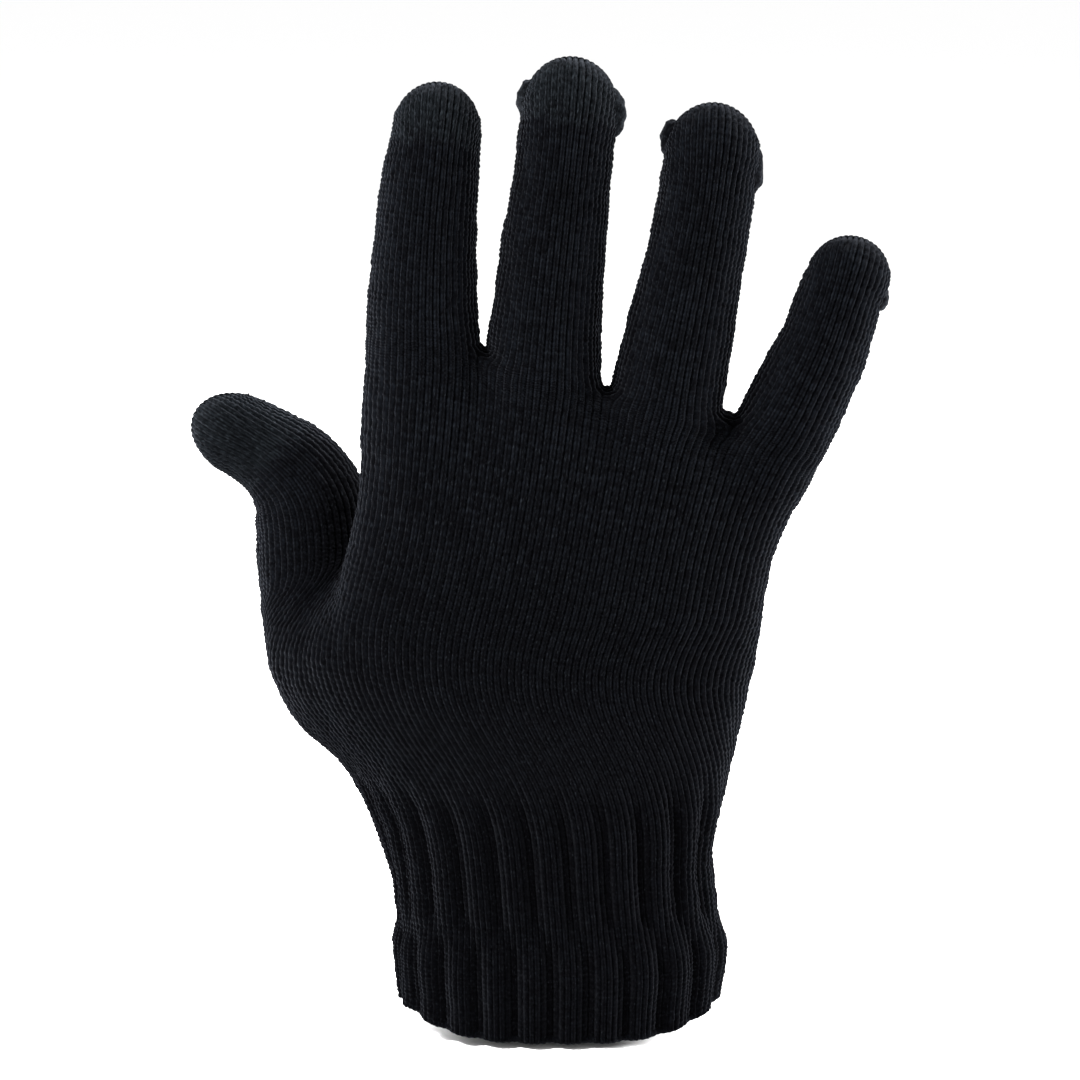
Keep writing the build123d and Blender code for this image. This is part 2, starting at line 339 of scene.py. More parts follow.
def hand_ring(w, turns):
    """Points at the given shares of the way round a hand section, from its left edge over the back."""
    left, right, b, slope = (float(v) for v in hand_row(np.array(w)))
    a, cx = (right - left) / 2, (left + right) / 2
    turn = np.linspace(0, 2 * np.pi, 721)
    c, s = -np.cos(turn), -np.sin(turn)
    x = np.sign(c) * np.abs(c) ** (2 / HAND_POWER) * a
    y = np.sign(s) * np.abs(s) ** (2 / HAND_POWER) * b
    run = np.r_[0, np.cumsum(np.hypot(np.diff(x), np.diff(y)))]
    want = (turns % 1) * run[-1]
    x, y = np.interp(want, run, x), np.interp(want, run, y)
    z = w - math.tan(math.radians(slope)) * (x + cx - HAND_MID_X)
    return np.stack([x + cx, y, z], 1)


def tube_ring(tube, s, count, left):
    """Points round a digit, with the wale numbered left on its thumb-side edge."""
    c, x, y, _, a, b = tube.frame_at(s)
    turn = np.pi + 2 * np.pi * (np.arange(count) - left) / count
    return c + a * np.cos(turn)[:, None] * x + b * np.sin(turn)[:, None] * y


def nearest_s(tube, point):
    """Distance along the tube's axis nearest to a point."""
    k = np.linalg.norm(tube.c - point, axis=1).argmin()
    return tube.at[k]


grid = Grid()
OUTER = THUMB_WALES - WEB  # the thumb's wales that run down into the hand
HAND_SIDE = WALES - WEB
LOW_WALES = HAND_SIDE + OUTER
# The wale on each digit's thumb-side edge, counted from the first of its own.
LEFT = {name: -(WEB // 2) for name in FINGERS}
LEFT["index"] = FRONT["index"]
LEFT["thumb"] = THUMB_WALES // 2 - WEB // 2


def outline(z, count=420):
    """The glove's closed outline at a height, from its left edge over the back of the hand."""
    turn = np.linspace(0, 2 * np.pi, count + 1)
    way = np.stack([-np.cos(turn), -np.sin(turn), np.zeros(count + 1)], 1)
    core = np.array([*CORE, z])
    near, far = np.full(count + 1, 4.0), np.full(count + 1, 85.0)
    for _ in range(11):
        middle = (near + far) / 2
        inside = shape_distance(core + way * middle[:, None], np.zeros(count + 1)) < 0
        near, far = np.where(inside, middle, near), np.where(inside, far, middle)
    return core + way * near[:, None]


def share_of(path):
    """How far along a path each of its points lies, as a share of the whole."""
    run = run_of(path)
    return run / run[-1]


# The lower hand: rings of wales that part at the thumb's web into the hand's and the thumb's.
high_turns = (np.arange(WALES) - EDGE) / WALES
high_ring = hand_ring(THUMB_WEB_Z, high_turns)
thumb_at_web = nearest_s(TUBES["thumb"], np.array([-53.0, 16.0, THUMB_WEB_Z + 1]))
thumb_ring = tube_ring(TUBES["thumb"], thumb_at_web, THUMB_WALES, LEFT["thumb"])
split_ring = np.vstack([high_ring[: HAND_SIDE + 1], thumb_ring[1:OUTER]])
# Shares of the way round at which the hand's wales start and end: at the cuff, then at the thumb's web.
cuff_gather = OUTER / 2 * CUFF_THUMB_WALE / (HAND_SIDE + OUTER * CUFF_THUMB_WALE)
cuff_ends = (cuff_gather, 1 - cuff_gather)
web_outline = outline(THUMB_WEB_Z)
web_share = share_of(web_outline)
web_ends = [web_share[np.linalg.norm(web_outline - high_ring[k], axis=1).argmin()] for k in (0, HAND_SIDE)]
low_rows = []
for j in range(LOW_ROWS + 1):
    z = THUMB_WEB_Z * j / LOW_ROWS
    around = outline(z)
    share = float(smoothstep(PART_FROM_Z, THUMB_WEB_Z, z))
    first, last = (c * (1 - share) + w * share for c, w in zip(cuff_ends, web_ends))
    hand_turns = np.linspace(first, last, HAND_SIDE + 1)
    turns = np.r_[hand_turns, np.linspace(last, 1 + first, OUTER + 1)[1:-1]] % 1
    ring = read_path(turns, share_of(around), around)
    mix = float(smoothstep(THUMB_WEB_Z - PART_RUN, THUMB_WEB_Z, z))
    ring = ring * (1 - mix) + split_ring * mix
    low_rows.append(grid.add(ring, 0, fixed=j == 0))

# The thumb's web, across from the palm's side (wale HAND_SIDE) to the back's (wale 0).
share = np.linspace(0, 1, WEB + 1)[1:-1, None]
saddle = high_ring[HAND_SIDE] * (1 - share) + high_ring[0] * share
thumb_web = grid.add(saddle + np.array([-2.5, 2.0, 0.0]) * np.sin(np.pi * share), 0)

# The upper hand, up to the fingers' webs.
front_at = [EDGE]
for name in FINGERS:
    front_at.append(front_at[-1] + FRONT[name])
back_at = [(2 * EDGE - i) % WALES for i in front_at]


def finger_runs(k):
    """The hand's wales that run on into a finger: one run, or two where the finger has webs on both sides."""
    f0, f1, b0, b1 = front_at[k], front_at[k + 1], back_at[k], back_at[k + 1]
    if k == 0:
        return [range(b1 - WALES, f1 + 1)]
    if k == 3:
        return [range(f0, b0 + 1)]
    return [range(f0, f1 + 1), range(b1, b0 + 1)]


top = np.zeros((WALES, 3))
weight = np.zeros(WALES)
for k, name in enumerate(FINGERS):
    tube, runs = TUBES[name], finger_runs(k)
    web_level = WEB_TOP - math.tan(math.radians(WEB_SLOPE)) * (tube.hinges[0][0] - HAND_MID_X)
    s = nearest_s(tube, np.array([*tube.hinges[0][:2], web_level]))
    ring = tube_ring(tube, s, sum(map(len, runs)) + len(runs) * (WEB - 1), LEFT[name])
    at = 0
    for run in runs:
        for step, wale in enumerate(run):
            top[wale % WALES] += ring[at + step]
            weight[wale % WALES] += 1
        at += len(run) + WEB - 1
top /= weight[:, None]

high_rows = [low_rows[-1][: HAND_SIDE + 1] + thumb_web]
for j in range(1, HIGH_ROWS + 1):
    t = j / HIGH_ROWS
    w = THUMB_WEB_Z + (WEB_TOP - 2.0 - THUMB_WEB_Z) * t
    share = float(smoothstep(0.25, 1.0, t))
    ring = hand_ring(w, high_turns) * (1 - share) + top * share
    high_rows.append(grid.add(ring, 0))

# The webs between the fingers, from the back of the hand over to the palm.
web_points = []
for k in range(1, 4):
    front, back = high_rows[-1][front_at[k]], high_rows[-1][back_at[k]]
    points = np.vstack(grid.points)
    share = np.linspace(0, 1, WEB + 1)[1:-1, None]
    arc = points[front] * (1 - share) + points[back] * share
    arc[:, 2] += 2.2 * np.sin(np.pi * share[:, 0])
    web_points.append(grid.add(arc, 0))


def side_of_hand(i):
    return "hand_back" if EDGE <= i < EDGE + WALES // 2 else "hand_palm"


def low_piece(j, i):
    if j < CUFF_ROWS:
        return "cuff"
    if j < WRIST_ROWS:
        return "wrist"
    return "thumb_root" if i >= HAND_SIDE else side_of_hand(i)


for j in range(LOW_ROWS):
    grid.strip(low_rows[j], low_rows[j + 1], 0, j, [low_piece(j, i) for i in range(LOW_WALES)])
for j in range(HIGH_ROWS):
    names = [side_of_hand(i) for i in range(WALES)]
    grid.strip(high_rows[j], high_rows[j + 1], 0, LOW_ROWS + j, names)


# The digits, each from its web's ring to the seam over its tip.
def digit_start_ring(name):
    if name == "thumb":
        low = low_rows[-1]
        return [*low[HAND_SIDE:], low[0], *reversed(thumb_web)]
    k = FINGERS.index(name)
    runs = [[high_rows[-1][i % WALES] for i in run] for run in finger_runs(k)]
    if k == 0:
        return runs[0] + web_points[0]
    if k == 3:
        return runs[0] + web_points[2][::-1]
    return runs[0] + web_points[k] + runs[1] + web_points[k - 1][::-1]


def seam_arch(tube, steps):
    """The seam's points over the dome, from the digit's left edge to its right."""
    c, x, _, z, a, _ = tube.frame_at(tube.length)
    arch = np.linspace(np.pi, 0, 200)
    path = c + a * np.cos(arch)[:, None] * x + tube.cap * np.sin(arch)[:, None] * z
    run = run_of(path)
    return read_path(np.linspace(run[-1] * SEAM_START, run[-1] * (1 - SEAM_START), steps + 1), run, path)


def dome_ring(tube, base, seam, left, share):
    """A course on its way from the ring below the dome to the two sides of the seam."""
    n, half = len(base), len(seam) - 1
    steps = [(i - left) % n for i in range(n)]
    flat = np.array([seam[step] if step <= half else seam[n - step] for step in steps])
    z = tube.frame_at(tube.length)[3][0]
    along = ((flat - base) @ z)[:, None] * z
    return base + along * np.sin(share * np.pi / 2) + (flat - base - along) * (1 - np.cos(share * np.pi / 2))


seams = {}
for group, name in enumerate((*FINGERS, "thumb"), 1):
    tube, start = TUBES[name], digit_start_ring(name)
    n = len(start)
    half = n // 2
    left = LEFT[name] % n
    s0 = nearest_s(tube, np.vstack(grid.points)[start].mean(0))
    courses = int(round((tube.length - s0 + tube.cap * DOME_SHARE) / COURSE))
    course = (tube.length - s0) / int(round((tube.length - s0) / COURSE))
    seam = seam_arch(tube, half)
    base = tube_ring(tube, tube.length - DOME_ROUND, n, left)
    closing = (tube.length - DOME_ROUND - s0) / COURSE
    rows = [start]
    for r in range(1, courses):
        s = s0 + r * course
        if s <= tube.length - DOME_ROUND:
            ring = tube_ring(tube, s, n, left)
        else:
            share = min(max((r - closing) / (courses - closing), 0.0), 1.0)
            ring = dome_ring(tube, base, seam, left, share)
        rows.append(grid.add(ring, group))
    seams[name] = grid.add(seam, group, fixed=True)
    bounds = [(a + b) / 2 for a, b in zip(tube.joint_at, tube.joint_at[1:])]
    parts = [DIGITS[name]["parts"][sum(s0 + (r + 0.5) * course > b for b in bounds)] for r in range(courses)]
    for r in range(courses - 1):
        grid.strip(rows[r], rows[r + 1], 0, r, f"{name}_{parts[r]}")
    for step in range(half):
        first, second = seams[name][step], seams[name][step + 1]
        i, j = (left + step) % n, (left + step + 1) % n
        grid.strip([rows[-1][i], rows[-1][j]], [first, second], i, courses - 1, f"{name}_{parts[-1]}", False)
        i, j = (left - step) % n, (left - step - 1) % n
        grid.strip([rows[-1][j], rows[-1][i]], [second, first], j, courses - 1, f"{name}_{parts[-1]}", False)

grid.finish()


def outward_step(p, group):
    """The move that takes each point onto the glove's surface."""
    here = shape_distance(p, group)
    slope = np.stack([shape_distance(p + step, group) - here for step in 0.05 * np.eye(3)], 1) / 0.05
    return -np.clip(here, -2.0, 2.0)[:, None] * slope / ((slope * slope).sum(1, keepdims=True) + 0.1)


def relax(points, quads, fixed, group, rounds):
    """Evens the stitches out over the surface while holding them to it."""
    edges = np.vstack([quads[:, [k, (k + 1) % 4]] for k in range(4)])
    a, b = np.unique(np.sort(edges, 1), axis=0).T
    n = len(points)
    degree = np.bincount(a, minlength=n) + np.bincount(b, minlength=n)
    p = points.copy()
    for k in range(rounds):
        near = np.stack([np.bincount(a, p[b, i], n) + np.bincount(b, p[a, i], n) for i in range(3)], 1)
        move = (near / degree[:, None] - p) * 0.6
        move[fixed] = 0
        p += move
        if k % 2 == 1 or k == rounds - 1:
            step = outward_step(p, group)
            step[fixed] = 0
            p += step
    for _ in range(2):
        p += outward_step(p, group)
    return p


points = relax(grid.points, grid.quads, grid.fixed, grid.group, SETTLE)
# The mouth is higher at its sides than in its middle.
rise = MOUTH_RISE + SIDE_RISE * np.abs(points[:, 0] / MOUTH_HALF) ** 3.6
points[:, 2] += rise * smoothstep(RISE_TOP, 0.0, points[:, 2]) * (points[:, 2] < RISE_TOP)


# ---- Subdivided surface and relief ---------------------------------------------------------------
LEVEL = 2
RELIEF = 0.75  # height of a wale's legs above the grooves beside it
CHEVRON = 0.31  # height of each stitch over the next
LEG_VALLEY = 0.22  # dip between a stitch's two legs
ODD_STITCH = 0.2  # unevenness from one stitch to the next
SWELL, RUFFLE, FUZZ = 0.16, 0.10, 0.10  # slow, quicker and finest unevenness of the surface
RIB_DEPTH = 1.9
GROOVE = 1.75  # half width of a groove of the rib
RIB_PITCH = 7.6  # between grooves
RIB_SHIFT = 0.33  # of a rib, by which the ribs step sideways at the crease
CREASE_Z = 25.0
CREASE_DEPTH = 0.3
MOUTH_SWELL, MOUTH_SWELL_Z = 0.4, 16.0
SHELTER = ((4.0, 0.9), (9.0, 1.1), (16.0, 0.9))  # (how far to look for nearby cloth, how much it counts)


def make_mesh(name, points, quads, corner_uv=None):
    """A mesh in metres. corner_uv holds four corners for each quad."""
    mesh = bpy.data.meshes.new(name)
    mesh.vertices.add(len(points))
    mesh.vertices.foreach_set("co", (np.asarray(points) * MM).astype(np.float32).ravel())
    mesh.loops.add(quads.size)
    mesh.loops.foreach_set("vertex_index", quads.astype(np.int32).ravel())
    mesh.polygons.add(len(quads))
    mesh.polygons.foreach_set("loop_start", np.arange(0, quads.size, 4, dtype=np.int32))
    mesh.update(calc_edges=True)
    if corner_uv is not None:
        layer = mesh.uv_layers.new(name="knit")
        layer.data.foreach_set("uv", np.asarray(corner_uv, np.float32).ravel())
    mesh.shade_smooth()
    return mesh


def subdivide(points, quads, uvs, level):
    """(points, normals, quads, corner uvs, stitch of each quad) of the smoothed surface."""
    mesh = make_mesh("base", points, quads, uvs)
    stitch = mesh.attributes.new("stitch", "INT", "FACE")
    stitch.data.foreach_set("value", np.arange(len(quads), dtype=np.int32))
    obj = bpy.data.objects.new("base", mesh)
    bpy.context.scene.collection.objects.link(obj)
    mod = obj.modifiers.new("smooth", "SUBSURF")
    mod.levels = mod.render_levels = level
    mod.uv_smooth = "NONE"
    done = obj.evaluated_get(bpy.context.evaluated_depsgraph_get()).to_mesh()
    n, q = len(done.vertices), len(done.polygons)
    co, normal = np.empty(n * 3, np.float32), np.empty(n * 3, np.float32)
    done.vertices.foreach_get("co", co)
    done.vertex_normals.foreach_get("vector", normal)
    index = np.empty(q * 4, np.int32)
    done.loops.foreach_get("vertex_index", index)
    uv = np.empty(q * 8, np.float32)
    done.uv_layers["knit"].data.foreach_get("uv", uv)
    of = np.empty(q, np.int32)
    done.attributes["stitch"].data.foreach_get("value", of)
    bpy.data.objects.remove(obj)
    co, normal = (a.reshape(-1, 3).astype(float) for a in (co, normal))
    return co / MM, normal, index.reshape(-1, 4), uv.reshape(-1, 4, 2).astype(float), of


def hash01(a, b, salt):
    """A repeatable number from 0 to 1 for each pair of whole numbers."""
    v = np.sin(a * 12.9898 + b * 78.233 + salt * 37.719) * 43758.5453
    return v - np.floor(v)


def wave_noise(p, scale, salt):
    """Slow unevenness, about -1 to 1, from a few crossing waves."""
    out = np.zeros(len(p))
    for k in range(5):
        d = np.array([math.sin(salt + 1.3 * k), math.cos(2.1 * k + salt), math.sin(0.7 + 2.9 * k + salt)])
        out += np.sin(p @ unit(d) * (0.7 + 0.31 * k) * 2 * np.pi / scale + salt * k)
    return out / 2.6


def rib_relief(p, u):
    """(height in mm, how deep in a groove) of the rib at each point."""
    z = p[:, 2]
    shift = RIB_SHIFT * smoothstep(CREASE_Z + 4, CREASE_Z - 4, z)
    turn = (u - GROOVE_WALE) / LOW_WALES * RIBS - shift
    deep = np.exp(-(((np.abs((turn + 0.5) % 1 - 0.5) * RIB_PITCH) / GROOVE) ** 2))
    fade = smoothstep(RIB_TOP + 4, RIB_TOP - 10, z) * (1 - 0.8 * np.exp(-(((z - CREASE_Z) / 3.0) ** 2)))
    wander = 0.8 * wave_noise(p, 45.0, 3.0)
    crease = -CREASE_DEPTH * np.exp(-(((z - CREASE_Z - wander) / 4.0) ** 2))
    swell = MOUTH_SWELL * np.exp(-(((z - MOUTH_SWELL_Z) / 6.0) ** 2))
    return (0.4 - deep) * RIB_DEPTH * fade + crease + swell, deep * fade


def relief(p, u, v, in_low):
    """(height in mm above the smooth surface, how deep in a groove of the rib) of the knitting."""
    fu = u - np.floor(u)
    arm = np.abs(2 * fu - 1)
    v = v + 0.22 * wave_noise(p, 9.0, 5.1)
    odd = hash01(np.floor(u + 1e-6), np.floor(v + 1e-6), 1.0) - 0.5
    legs = np.sin(np.pi * fu) ** 0.8 - LEG_VALLEY * np.exp(-(((fu - 0.5) / 0.1) ** 2))
    rung = 0.5 + 0.5 * np.cos(2 * np.pi * (v - 0.45 * (1 - arm)))
    h = RELIEF * (legs - 0.6) + CHEVRON * (rung - 0.5) * legs + ODD_STITCH * odd * legs
    h += SWELL * wave_noise(p, 13.0, 0.4) + RUFFLE * wave_noise(p, 5.0, 2.2)
    h += FUZZ * (hash01(p[:, 0], p[:, 2], 2.7) - 0.5)
    rib, groove = rib_relief(p, u)
    ribbed = in_low & (p[:, 2] < RIB_TOP + 8)
    return np.where(ribbed, h + rib, h), np.where(ribbed, groove, 0.0)


def vertex_normals(points, quads):
    """Each point's normal, from the quads round it."""
    across = np.cross(points[quads[:, 2]] - points[quads[:, 0]], points[quads[:, 3]] - points[quads[:, 1]])
    sums = [np.bincount(quads.ravel(), np.repeat(across[:, i], 4), len(points)) for i in range(3)]
    return unit(np.stack(sums, 1))


point_normal = vertex_normals(points, grid.quads)
lining = points - point_normal * WALL

# How far each point lies in the creases between the digits and the hand, for painted shade there.
shelter = np.zeros(len(points))
for reach, share in SHELTER:
    clear = shape_distance(points + point_normal * reach, np.zeros(len(points)))
    shelter += share * np.clip((reach - clear) / reach - 0.12, 0, 1)
shelter = np.clip(shelter, 0, 1)

# The wale whose groove runs down the back of the wrist at GROOVE_X.
rib_row = points[low_rows[36]]
GROOVE_WALE = int(np.argmin(np.abs(rib_row[:, 0] - GROOVE_X) + 100 * (rib_row[:, 1] > 0)))

smooth, normals, quads, uvs, stitch_of = subdivide(points, grid.quads, grid.uvs, LEVEL)
vertex_uv = np.zeros((len(smooth), 2))
vertex_uv[quads.ravel()] = uvs.reshape(-1, 2)
is_low = np.zeros(len(smooth), bool)
is_low[quads[stitch_of < LOW_ROWS * LOW_WALES].ravel()] = True
# The depth in the rib's grooves is kept for painted shade there.
height, painted_shade = relief(smooth, vertex_uv[:, 0], vertex_uv[:, 1], is_low)
raised = smooth + normals * height[:, None]
# The raised surface's own normals, the same for both pieces along a border.
raised_normal = vertex_normals(raised, quads)

# The shelter of each stitch's corners, spread over the stitch, as painted shade.
across, along = (np.clip(uvs[:, :, i] - grid.uvs[stitch_of][:, :1, i], 0, 1) for i in (0, 1))
weights = [(1 - across) * (1 - along), across * (1 - along), across * along, (1 - across) * along]
weights = np.stack(weights, -1)
sheltered = np.zeros(len(smooth))
sheltered[quads.ravel()] = (weights * shelter[grid.quads[stitch_of]][:, None, :]).sum(-1).ravel()
painted_shade = np.maximum(painted_shade, sheltered)


# ---- Materials -----------------------------------------------------------------------------------
class Nodes:
    """A short way to write node trees."""

    def __init__(self, name):
        self.material = bpy.data.materials.new(name)
        self.material.use_nodes = True
        self.tree = self.material.node_tree
        self.tree.nodes.clear()

    def add(self, kind, inputs=None, **settings):
        node = self.tree.nodes.new(kind)
        for key, value in settings.items():
            setattr(node, key, value)
        for key, value in (inputs or {}).items():
            if isinstance(value, bpy.types.NodeSocket):
                self.tree.links.new(value, node.inputs[key])
            else:
                node.inputs[key].default_value = value
        return node

    def math(self, operation, a, b=0.0, c=0.0):
        return self.add("ShaderNodeMath", {0: a, 1: b, 2: c}, operation=operation).outputs[0]

    def mix(self, share, a, b):
        return self.add("ShaderNodeMix", {0: share, 6: a, 7: b}, data_type="RGBA").outputs[2]

    def noise(self, vector, scale, detail):
        inputs = {"Vector": vector, "Scale": scale, "Detail": detail}
        return self.add("ShaderNodeTexNoise", inputs).outputs["Fac"]

    def remap(self, value, *ends):
        """A value stretched from the first two ends to the last two, or to 0 and 1, and kept between them."""
        return self.add("ShaderNodeMapRange", {0: value, **dict(enumerate(ends, 1))}).outputs[0]


CLOUD_SCALE, MOTTLE_SCALE, FIBRE_SCALE = 70.0, 640.0, 2600.0
MOTTLE = (0.34, 0.66, 0.45, 1.55)  # noise from and to, then lightness from and to
# Painted shade: the yarn is painted darker low on the glove, towards the cuff.
PAINTED_LOW_SHADE = (0.078, 0.148, 0.34, 0.9)  # metres up the glove from and to, then lightness from and to
# Painted shade in the rib's grooves and the creases by the digits: at most this much darker.
PAINTED_SHADE_MAX = 0.85  # how much darker the deepest hollow is
TWIST_DEPTH = 0.0004


def yarn_material(name, dark, light, fleck, fleck_share, sheen, start=None):
    """Knitted yarn: painted shade between the legs of each stitch and painted light on their crowns, flecked,
    fuzzy, and finely twisted.

    start is the yarn that the first few courses still carry.
    """
    n = Nodes(name)
    uv = n.add("ShaderNodeUVMap", uv_map="knit").outputs["UV"]
    where = n.add("ShaderNodeTexCoord").outputs["Object"]
    split = n.add("ShaderNodeSeparateXYZ", {0: uv})
    u, v = split.outputs[0], split.outputs[1]

    # The two legs of each stitch, and its slant.
    arm = n.math("ABSOLUTE", n.math("MULTIPLY_ADD", n.math("FRACT", u), 2.0, -1.0))
    leg = n.math("SINE", n.math("MULTIPLY", n.math("SUBTRACT", 1.0, arm), math.pi))
    slant = n.math("MULTIPLY_ADD", arm, 0.45, v)
    rung = n.math("MULTIPLY_ADD", n.math("COSINE", n.math("MULTIPLY", slant, 2 * math.pi)), 0.5, 0.5)
    # tuft is 1 on a stitch's crown and 0 between its legs: it sets the painted light and shade in the colour,
    # and the bump
    tuft = n.math("MULTIPLY", leg, n.math("MULTIPLY_ADD", rung, 0.35, 0.65))
    cell = n.add("ShaderNodeCombineXYZ", {0: n.math("FLOOR", u), 1: n.math("FLOOR", v)}).outputs[0]
    odd = n.add("ShaderNodeTexWhiteNoise", {"Vector": cell}).outputs["Value"]

    if start:
        arrived = n.remap(n.math("ADD", v, n.math("MULTIPLY_ADD", odd, 3.0, -1.0)), 0.0, 3.0)
        pairs = zip(start, (dark, light, fleck))
        dark, light, fleck = (n.mix(arrived, (*a, 1.0), (*b, 1.0)) for a, b in pairs)
    else:
        dark, light, fleck = (*dark, 1.0), (*light, 1.0), (*fleck, 1.0)

    # Painted light on each stitch's crown, random mottling, and painted shade low on the glove and in its
    # hollows, creases and shaded corners.
    cloud, mottle = n.noise(where, CLOUD_SCALE, 3.0), n.remap(n.noise(where, MOTTLE_SCALE, 1.0), *MOTTLE)
    level = n.math("MULTIPLY", n.math("MULTIPLY_ADD", odd, 0.75, n.math("MULTIPLY", cloud, 0.9)), mottle)
    height = n.add("ShaderNodeSeparateXYZ", {0: where}).outputs[2]
    level = n.math("MULTIPLY", n.math("POWER", tuft, 1.6), level)
    # Painted shade, darker low on the glove.
    level = n.math("MULTIPLY", level, n.remap(height, *PAINTED_LOW_SHADE))
    # Painted shade stored on the points.
    painted_shade = n.add("ShaderNodeAttribute", attribute_name="painted_shade").outputs["Fac"]
    level = n.math("MULTIPLY", level, n.math("MULTIPLY_ADD", painted_shade, -PAINTED_SHADE_MAX, 1.0))
    colour = n.mix(level, dark, light)

    # Flecks are short pieces of paler fibre that lie along the legs.
    thread = n.add("ShaderNodeCombineXYZ", {0: n.math("MULTIPLY", u, 6.0), 1: n.math("MULTIPLY", slant, 1.6)})
    flecks = n.remap(n.noise(thread.outputs[0], 1.0, 2.0), 0.62 - fleck_share, 0.80 - fleck_share)
    colour = n.mix(n.math("MULTIPLY", flecks, n.math("MULTIPLY_ADD", tuft, 0.6, 0.4)), colour, fleck)

    # Fine fibres and the twist of the yarn.
    ply = n.math("SINE", n.math("MULTIPLY_ADD", u, 37.7, n.math("MULTIPLY", slant, 25.1)))
    rough = n.math("MULTIPLY_ADD", n.noise(where, FIBRE_SCALE, 2.0), 0.9, n.math("MULTIPLY", ply, 0.12))
    height = n.math("MULTIPLY_ADD", tuft, 0.6, rough)
    inputs = {"Strength": 0.35, "Distance": TWIST_DEPTH, "Height": height}
    bumped = n.add("ShaderNodeBump", inputs).outputs[0]
    shader = n.add(
        "ShaderNodeBsdfPrincipled",
        {
            "Base Color": colour,
            "Roughness": 1.0,
            "Specular IOR Level": 0.008,
            "Sheen Weight": sheen,
            "Sheen Roughness": 0.45,
            "Sheen Tint": (0.78, 0.84, 1.0, 1.0),
            "Normal": bumped,
        },
    )
    n.add("ShaderNodeOutputMaterial", {0: shader.outputs[0]})
    return n.material


# Colours between the stitches (painted shade), on their crowns (painted light), and of the flecks
BLACK_SHADES = ((0.00015, 0.0001, 0.0002), (0.0022, 0.0027, 0.0037), (0.0075, 0.0088, 0.0105))
TOUCH_SHADES = ((0.0003, 0.0004, 0.0005), (0.0031, 0.0039, 0.0048), (0.0095, 0.0115, 0.0135))
ELASTIC_SHADES = ((0.0003, 0.0003, 0.0003), (0.004, 0.0042, 0.0048), (0.008, 0.008, 0.009))
BLACK = yarn_material("black_yarn", *BLACK_SHADES, 0.03, 0.035)
RIB = yarn_material("black_rib", *BLACK_SHADES, 0.02, 0.026)
TOUCH = yarn_material("touch_yarn", *TOUCH_SHADES, 0.09, 0.045, BLACK_SHADES)
ELASTIC = yarn_material("elastic_yarn", *ELASTIC_SHADES, 0.02, 0.02)
MATERIAL_OF = {"black_yarn": BLACK, "black_rib": RIB, "touch_yarn": TOUCH, "elastic_yarn": ELASTIC}

# ---- Pieces --------------------------------------------------------------------------------------
TOUCH_FROM = {"index": 5.5, "middle": 6.5, "thumb": 8.0}  # beyond the last hinge, the marled yarn starts
HAND_PIECES = ["hand_back", "hand_palm", "thumb_root"]


def shade(mesh, values):
    """Stores each point's painted shade: how far it lies in a hollow or crease, or how far a corner lies in
    shade.
    """
    layer = mesh.attributes.new("painted_shade", "FLOAT", "POINT")
    layer.data.foreach_set("value", np.asarray(values, np.float32))


def place(name, mesh, slot):
    obj = bpy.data.objects.new(f"{name}_knit", mesh)
    bpy.context.scene.collection.objects.link(obj)
    mesh.materials.append(MATERIAL_OF[slot])
    return obj


piece_of = grid.piece.astype("<U24")
for name, start in TOUCH_FROM.items():
    tube = TUBES[name]
    along = tube.frame_at(tube.joint_at[-1] + start)[3][0]
    beyond = (points[grid.quads].mean(1) - tube.hinges[-1]) @ along > start
    piece_of[(piece_of == f"{name}_end") & beyond] = f"{name}_touch"


def knit_piece(name, slot):
    """One piece of the glove: its knitted face and its plain lining."""
    chosen = piece_of == name
    used, face = np.unique(quads[chosen[stitch_of]], return_inverse=True)
    used_back, back = np.unique(grid.quads[chosen][:, ::-1], return_inverse=True)
    face_uv = uvs[chosen[stitch_of]]
    face_uv[:, :, 1] -= grid.uvs[chosen][:, :, 1].min() if name.endswith("touch") else 0
    all_points = np.vstack([raised[used], lining[used_back]])
    all_quads = np.vstack([face.reshape(-1, 4), back.reshape(-1, 4) + len(used)])
    all_uv = np.vstack([face_uv, grid.uvs[chosen][:, ::-1]])
    mesh = make_mesh(name, all_points, all_quads, all_uv)
    mesh.normals_split_custom_set_from_vertices(np.vstack([raised_normal[used], -point_normal[used_back]]))
    # Painted shade on the knitted face, none on the lining.
    shade(mesh, np.r_[painted_shade[used], np.zeros(len(used_back))])
    return place(name, mesh, slot)


def bend_piece(obj):
    """Bakes a piece's placement into its mesh."""
    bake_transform(obj)


for name in HAND_PIECES:
    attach(knit_piece(name, "black_yarn"), "hand")
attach(knit_piece("cuff", "black_rib"), "cuff")
wrist = knit_piece("wrist", "black_rib")
bend_piece(wrist)

for name, spec in DIGITS.items():
    for k, part in enumerate(spec["parts"]):
        piece = f"{name}_{part}"
        along = TUBES[name].frame_at(TUBES[name].joint_at[k])[3][0]
        knitted = [knit_piece(piece, "black_yarn")]
        if part == "end" and name in TOUCH_FROM:
            knitted.append(knit_piece(f"{name}_touch", "touch_yarn"))
        for obj in knitted:
            bend_piece(obj)

NODES_OF = {
    "cuff": ["cuff_rib", "cuff_welt"],
    "wrist": ["wrist_rib_fold", "wrist_rib"],
    "hand_back": ["hand_tube"],
}
for name, spec in DIGITS.items():
    for part in spec["parts"]:
        nodes = (f"{name}_{part}_fold", f"{name}_{part}_sleeve")
        NODES_OF[f"{name}_{part}"] = [node for node in nodes if node in frame["nodes"]]
    if name in TOUCH_FROM:
        NODES_OF[f"{name}_touch"] = [f"{name}_touch_tip"]
    else:
        NODES_OF[f"{name}_end"].append(f"{name}_end_cap")
for name, nodes in NODES_OF.items():
    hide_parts(*nodes)


